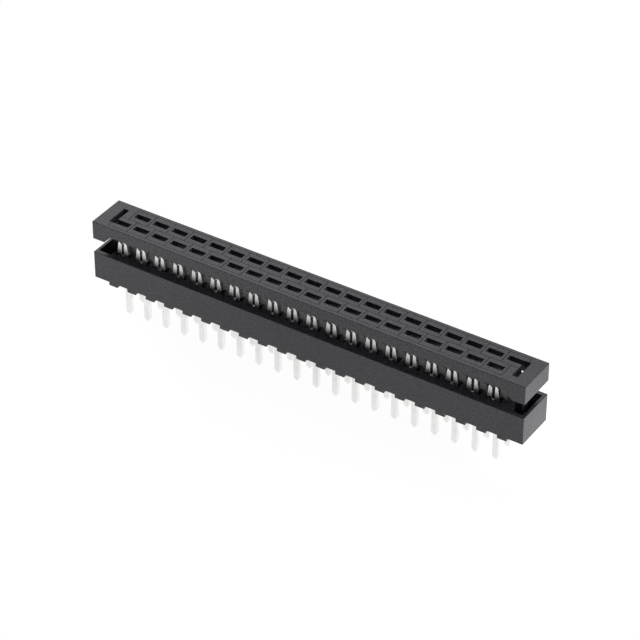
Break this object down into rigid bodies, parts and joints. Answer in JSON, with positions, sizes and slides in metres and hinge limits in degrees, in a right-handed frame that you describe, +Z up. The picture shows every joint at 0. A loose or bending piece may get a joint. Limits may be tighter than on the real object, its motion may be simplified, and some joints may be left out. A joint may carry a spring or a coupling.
{
  "type": "ribbon cable transition connector",
  "caption": "Ribbon cable to board connector: a slotted cover stands raised on latch legs over a moulded base with forked insulation-displacement contacts and solder tails.",
  "frame": {"origin": "centre of the board seat, on the underside of the middle stand-off foot", "axes": "+X along the rows, +Y across them to the back row, +Z up from the board to the cover"},
  "size_m": [0.0558, 0.005, 0.012],
  "materials": {
    "black_plastic": "fine moulded satin",
    "tin_plate": "tin plated copper alloy"
  },
  "bodies": {
    "housing": {"base": "black_plastic", "contact_front_01": "tin_plate", "contact_front_02": "tin_plate", "contact_front_03": "tin_plate", "contact_front_04": "tin_plate", "contact_front_05": "tin_plate", "contact_front_06": "tin_plate", "contact_front_07": "tin_plate", "contact_front_08": "tin_plate", "contact_front_09": "tin_plate", "contact_front_10": "tin_plate", "contact_front_11": "tin_plate", "contact_front_12": "tin_plate", "contact_front_13": "tin_plate", "contact_front_14": "tin_plate", "contact_front_15": "tin_plate", "contact_front_16": "tin_plate", "contact_front_17": "tin_plate", "contact_front_18": "tin_plate", "contact_front_19": "tin_plate", "contact_front_20": "tin_plate", "contact_back_01": "tin_plate", "contact_back_02": "tin_plate", "contact_back_03": "tin_plate", "contact_back_04": "tin_plate", "contact_back_05": "tin_plate", "contact_back_06": "tin_plate", "contact_back_07": "tin_plate", "contact_back_08": "tin_plate", "contact_back_09": "tin_plate", "contact_back_10": "tin_plate", "contact_back_11": "tin_plate", "contact_back_12": "tin_plate", "contact_back_13": "tin_plate", "contact_back_14": "tin_plate", "contact_back_15": "tin_plate", "contact_back_16": "tin_plate", "contact_back_17": "tin_plate", "contact_back_18": "tin_plate", "contact_back_19": "tin_plate", "contact_back_20": "tin_plate"},
    "cover": {"cover": "black_plastic"}
  },
  "joints": [
    {"name": "cover_press", "type": "slide", "parent": "housing", "child": "cover", "axis": [0, 0, 1], "range_m": [-0.0018, 0]}
  ]
}
